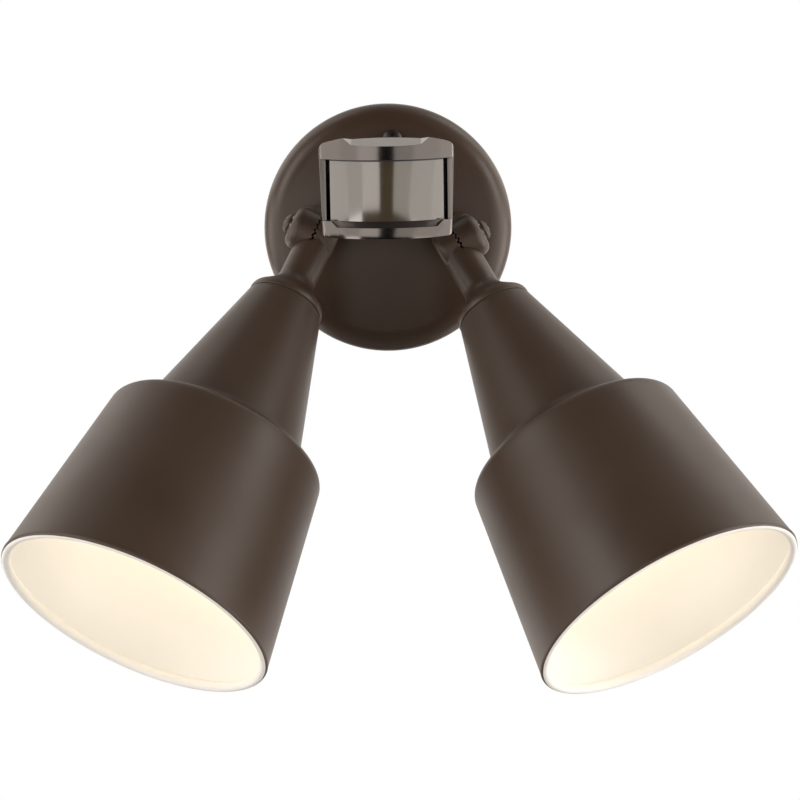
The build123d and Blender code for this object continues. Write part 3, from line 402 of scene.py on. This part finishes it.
def shade_profile():
    pts = []

    def put(points, mat):
        for q in points:
            if pts and abs(pts[-1][0] - q[0]) + abs(pts[-1][1] - q[1]) < 1e-6:
                pts[-1] = (pts[-1][0], pts[-1][1], mat)
                continue
            pts.append((q[0], q[1], mat))
    B, I = 0, 1
    put(line((7.6, t0), (18.7, t0), 3), B)
    put(arc3((18.7, t0), (19.2, t0 + 0.25), (NECK_R + 0.25, t0 + 0.9), 6), B)
    put(line((NECK_R + 0.25, t0 + 0.9), FLARE_A, 24), B)
    put(arc3(FLARE_A, FLARE_M, FLARE_B, 14), B)
    put(line(FLARE_B, (DRUM_R - 4.0, DRUM_T - 0.75), 3), B)
    put(arc3((DRUM_R - 4.0, DRUM_T - 0.75), (DRUM_R - 1.05, DRUM_T + 0.95), (DRUM_R + 0.52, DRUM_T + 3.8), 10), B)
    put(line((DRUM_R + 0.52, DRUM_T + 3.8), (MOUTH_R - slope_d * 2.0, MOUTH_T - 2.0), 28), B)
    # rolled edge: bronze on its outer face, white from its end inward
    c = (MOUTH_R - 2.05, MOUTH_T - 2.0)
    put([(c[0] + 2.0 * math.cos(a), c[1] + 2.0 * math.sin(a)) for a in np.radians(np.arange(4, 52, 8))], B)
    put([(c[0] + 2.0 * math.cos(a), c[1] + 2.0 * math.sin(a)) for a in np.radians(np.arange(52, 176, 8))], I)
    put([(c[0] - 2.0, c[1] - 0.6), (c[0] - 1.86, c[1] - 1.3), (c[0] - 1.35, c[1] - 2.0), (c[0] - 0.7, c[1] - 2.45),
         (c[0] - 0.25, c[1] - 2.75), (MOUTH_R - slope_d * 5.4 - W, MOUTH_T - 5.4)], I)
    put(line((MOUTH_R - slope_d * 6.0 - W, MOUTH_T - 6.0), (DRUM_R + 0.55 - W, DRUM_T + 4.2), 24), I)
    put(arc3((DRUM_R + 0.55 - W, DRUM_T + 4.2), (DRUM_R - 1.85, DRUM_T + 1.65), (DRUM_R - 4.2, DRUM_T + W - 0.75), 8), I)
    a = (FLARE_B[0] - 0.24 * W, FLARE_B[1] + 0.97 * W)
    b = (FLARE_M[0] - 0.70 * W, FLARE_M[1] + 0.714 * W)
    e = (FLARE_A[0] - 0.966 * W, FLARE_A[1] + 0.259 * W)
    put(line((DRUM_R - 4.2, DRUM_T + W - 0.75), a, 3), I)
    put(arc3(a, b, e, 8), I)
    put(line(e, (NECK_R + 0.35 - W, t0 + 2.0), 18), I)
    put([(17.4, t0 + W), (12.0, t0 + W), (7.6, t0 + W)], I)
    return pts


for side_name in HEADS:
    K, d, out = head_frame(side_name)
    me = revolve(side_name + "_shade_piece", K, d, out, shade_profile(), [M["bronze"], M["inner"]], segments=256, sharp=40)
    o = new_object(side_name + "_shade_piece", me, side_name + "_head",
                   replaces=[side_name + "_shade"])

# ---------------------------------------------------------------- materials
for n, o in NODES.items():
    set_material(o, M[SLOT_MAT[SLOT_OF[n]]])
    if not o.hide_render:
        smooth_by_angle(o.data, 32)

# castings and turned pieces with rounded edges
for side_name in HEADS:
    cast(side_name + "_arm", M["bronze"], voxel=0.33, rounds=3)
    cast(side_name + "_knuckle_base", M["bronze"], voxel=0.33, rounds=3)
    refined(side_name + "_knuckle_screw", M["bronze"], bevel=0.25)
# painted shade: the canopy screw head is darkened
refined("canopy_screw", M["screw_shaded"], bevel=0.2)
# the canopy takes the darker copy of the bronze, as painted shade
set_material(NODES["canopy"], M["canopy"])
housing = refined("sensor_housing", M["gunmetal"], bevel=0.30, angle=30, segments=3)
cover = refined("sensor_cover", M["gunmetal"], bevel=0.5, angle=55, segments=3, smooth=10)
refined("sensor_neck", M["bronze"], bevel=0.3)
refined("time_dial", M["knob"], bevel=0.2)
refined("range_dial", M["knob"], bevel=0.2)

# --------------------------------------------------------------- sensor lens
lean, nod = math.radians(3.8), math.radians(6.0)
S = Vector((0.0, -41.0, 6.0))
ex = Vector((math.cos(lean), 0, math.sin(lean)))
ez0 = Vector((-math.sin(lean), 0, math.cos(lean)))
ey = Vector((0, 1, 0)) * math.cos(nod) + ez0 * math.sin(nod)
ez = ez0 * math.cos(nod) - Vector((0, 1, 0)) * math.sin(nod)


def sensor_point(x, y, z):
    return (S + ex * x + ey * y + ez * z) * MM


# painted light on the sensor: the sill under the lens gets a darker, rougher copy of the gunmetal as painted shade,
# and the facet on the cover gets a lighter copy as painted highlight
housing.data.materials.append(M["gunmetal_sill_painted_shade"])
for f in housing.data.polygons:
    q = f.center / MM - S
    qx, qy, qz = q.dot(ex), q.dot(ey), q.dot(ez)
    if abs(qx) < 28.2 and -0.6 < qz < 3.6 and qy < -34.0 and f.normal.dot(ez) > 0.15:
        f.material_index = 1
# painted highlight: the facet faces on top of the cover take the lighter copy
cover.data.materials.append(M["gunmetal_painted_highlight"])
for f in cover.data.polygons:
    q = f.center / MM - S
    qx, qy, qz = q.dot(ex), q.dot(ey), q.dot(ez)
    rise = math.degrees(math.asin(max(-1.0, min(1.0, f.normal.dot(ez)))))
    if abs(qx) < 25.0 and qz > 36.0 and 55.0 < rise < 88.0 and f.normal.dot(ey) < -0.1 and abs(f.normal.dot(ex)) < 0.2:
        f.material_index = 1


def lens_mesh():
    """Curved sheet, fuller at mid height, with a thickness."""
    z0, z1, nz, nx = 3.0, 32.8, 40, 120
    xs = np.linspace(-27.6, 27.6, nx + 1)
    R = 45.5
    front, back = [], []
    bm = bmesh.new()
    for j in range(nz + 1):
        z = z0 + (z1 - z0) * j / nz
        bulge = 0.85 * (1 - (2 * j / nz - 1) ** 2)
        rf, rb = [], []
        for x in xs:
            sag = R - math.sqrt(R * R - x * x)
            y = -48.35 - bulge * (1 - (x / 27.6) ** 2 * 0.5) + sag
            rf.append(bm.verts.new(sensor_point(x, y, z)))
            rb.append(bm.verts.new(sensor_point(x * 0.975, y + 1.2, z)))
        front.append(rf)
        back.append(rb)
    for j in range(nz):
        for i in range(nx):
            bm.faces.new((front[j][i], front[j][i + 1], front[j + 1][i + 1], front[j + 1][i]))
            bm.faces.new((back[j][i], back[j + 1][i], back[j + 1][i + 1], back[j][i + 1]))
        for i in (0, nx):
            bm.faces.new((front[j][i], front[j + 1][i], back[j + 1][i], back[j][i]))
    for i in range(nx):
        for j in (0, nz):
            bm.faces.new((front[j][i], front[j][i + 1], back[j][i + 1], back[j][i]))
    bmesh.ops.recalc_face_normals(bm, faces=bm.faces)
    me = bpy.data.meshes.new("sensor_lens_piece")
    bm.to_mesh(me)
    bm.free()
    smooth_by_angle(me, 30)
    # painted shadow: a black strip along the top of the lens where the sheet tucks under the cover
    me.materials.append(M["lens"])
    me.materials.append(M["black"])
    for f in me.polygons:
        if (f.center / MM - S).dot(ez) > 31.95:
            f.material_index = 1
    return me


new_object("sensor_lens_piece", lens_mesh(), "sensor_head", replaces=["sensor_lens"])

# ------------------------------------------------------------ floor and light
bpy.ops.mesh.primitive_plane_add(size=9.0, location=(0, 0, -3.6))
floor = bpy.context.object
floor.name = "floor"
floor.visible_camera = False
set_material(floor, paint("floor_grey", (0.30, 0.30, 0.30), 0.8, bump=0.02, scale=60, vary=0.01, patch=1.5))

world = Shader("studio", world=True)
wo = world.add("ShaderNodeOutputWorld")
white = world.add("ShaderNodeBackground")
white.inputs["Color"].default_value = (1, 1, 1, 1)
white.inputs["Strength"].default_value = 1.0
room = world.add("ShaderNodeBackground")
tc = world.add("ShaderNodeTexCoord")
sep = world.add("ShaderNodeSeparateXYZ")
world.link(tc.outputs["Generated"], sep.inputs[0])
back = world.add("ShaderNodeMapRange", interpolation_type="SMOOTHSTEP")
back.inputs["From Min"].default_value = -0.10
back.inputs["From Max"].default_value = 0.45
back.inputs["To Min"].default_value = 0.02
back.inputs["To Max"].default_value = 0.10
world.link(sep.outputs["Y"], back.inputs["Value"])
room.inputs["Color"].default_value = (1.0, 0.985, 0.97, 1)
world.link(back.outputs[0], room.inputs["Strength"])
lp = world.add("ShaderNodeLightPath")
mixw = world.add("ShaderNodeMixShader")
world.link(lp.outputs["Is Camera Ray"], mixw.inputs[0])
world.link(room.outputs[0], mixw.inputs[1])
world.link(white.outputs[0], mixw.inputs[2])
world.link(mixw.outputs[0], wo.inputs[0])
bpy.context.scene.world = world.owner


def softbox(name, azimuth, elevation, distance, width, height, radiance, colour=(1.0, 0.94, 0.885)):
    """A large area light round the object, azimuth 0 in front of it (-Y), + toward +X."""
    a, e = math.radians(azimuth), math.radians(elevation)
    direction = Vector((math.sin(a) * math.cos(e), -math.cos(a) * math.cos(e), math.sin(e)))
    target = Vector((0, -0.06, -0.05))
    ld = bpy.data.lights.new(name, "AREA")
    ld.shape = "RECTANGLE"
    ld.size, ld.size_y = width, height
    ld.energy = radiance * math.pi * width * height
    ld.color = colour
    lo = bpy.data.objects.new(name, ld)
    bpy.context.scene.collection.objects.link(lo)
    lo.location = target + direction * distance
    lo.rotation_mode = "QUATERNION"
    lo.rotation_quaternion = direction.to_track_quat("Z", "Y")
    lo.visible_camera = False
    return lo


# tents of soft light round the object: azimuth from, to, elevation from, to, brightness
SOFT = (
    (-140, -110, -50, -20, 2.54), (-110, -80, -50, -20, 0.30), (-53, -31, -50, -20, 3.19), (31, 61, -50, -20, 3.10),
    (110, 140, -50, -20, 1.61),
    (-140, -110, -20, 10, 0.22), (-110, -80, -20, 10, 2.70), (-80, -53, -20, 10, 1.67), (-53, -31, -20, 10, 1.46),
    (-31, -9, -20, 10, 1.95), (9, 31, -20, 10, 1.17), (31, 61, -20, 10, 1.57), (61, 85, -20, 10, 1.78),
    (85, 110, -20, 10, 5.28), (110, 140, -20, 10, 0.29),
    (-140, -110, 10, 40, 1.71), (-80, -53, 10, 40, 3.59), (61, 85, 10, 40, 5.08), (110, 140, 10, 40, 1.66),
    (-140, -110, 40, 65, 1.41), (31, 61, 40, 65, 0.26), (110, 140, 40, 65, 2.58),
    (100, 180, 65, 89, 0.31), (140, 220, -30, 30, 1.22), (140, 220, 30, 65, 0.44),
)
for k, (a0, a1, e0, e1, power) in enumerate(SOFT):
    el_mid = math.radians((e0 + e1) / 2)
    softbox("soft_%02d" % k, (a0 + a1) / 2, (e0 + e1) / 2, 3.0,
            6.0 * math.tan(math.radians((a1 - a0) / 2)) * max(0.25, math.cos(el_mid)),
            6.0 * math.tan(math.radians((e1 - e0) / 2)), power * 1.06)

sc = bpy.context.scene
sc.view_settings.view_transform = "Standard"
sc.view_settings.look = "None"
sc.view_settings.exposure = 0.0
sc.view_settings.gamma = 1.0
